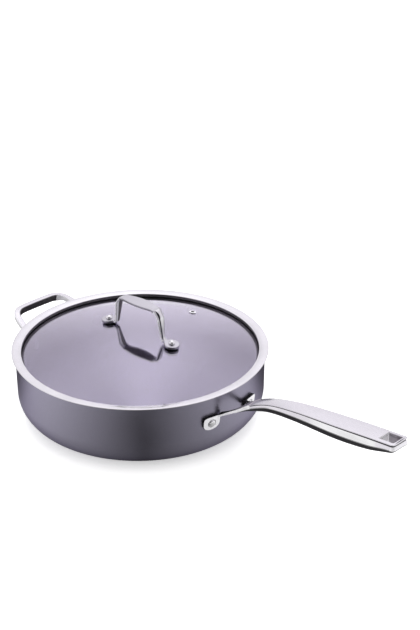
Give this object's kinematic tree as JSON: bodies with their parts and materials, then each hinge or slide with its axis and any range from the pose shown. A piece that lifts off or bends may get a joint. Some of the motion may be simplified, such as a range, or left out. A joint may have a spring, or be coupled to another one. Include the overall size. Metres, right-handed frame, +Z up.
{
  "type": "frying pan with lid",
  "caption": "Deep straight-sided frying pan with a long forked steel handle, a loop handle opposite, and a domed glass lid with a steel rim, strap handle and steam vent.",
  "frame": {"origin": "middle of the flat underside, where the pan stands on a hob", "axes": "+Z up, +X along the long handle away from the pan"},
  "size_m": [0.5639, 0.2932, 0.1379],
  "materials": {
    "anodised_aluminium": "hard-anodised, satin, violet-tinted dark grey",
    "satin_steel": "stainless steel, satin brushed along its length",
    "polished_steel": "stainless steel, polished",
    "base_steel": "magnetic stainless steel, turned",
    "clear_glass": "clear tempered glass",
    "dark_silicone": "matt dark silicone"
  },
  "bodies": {
    "pan": {"pan_body": "anodised_aluminium", "base_disc": "base_steel", "long_handle_shell": "polished_steel", "long_handle_cover": "satin_steel", "long_handle_rivet_left": "polished_steel", "long_handle_rivet_right": "polished_steel", "loop_handle": "satin_steel", "loop_handle_rivet_left": "polished_steel", "loop_handle_rivet_right": "polished_steel"},
    "lid": {"lid_glass": "clear_glass", "lid_rim": "polished_steel", "lid_rim_seal": "dark_silicone", "lid_handle": "satin_steel", "vent_eyelet": "polished_steel", "lid_handle_rivet_front": "polished_steel", "lid_handle_rivet_rear": "polished_steel", "lid_foot_washer_front": "dark_silicone", "lid_foot_washer_rear": "dark_silicone", "lid_backing_washer_front": "dark_silicone", "lid_backing_washer_rear": "dark_silicone", "lid_backing_plate_front": "satin_steel", "lid_backing_plate_rear": "satin_steel"}
  },
  "joints": [
    {"name": "lid_lift", "type": "slide", "parent": "pan", "child": "lid", "axis": [0, 0, 1], "range_m": [0, 0.15]}
  ]
}
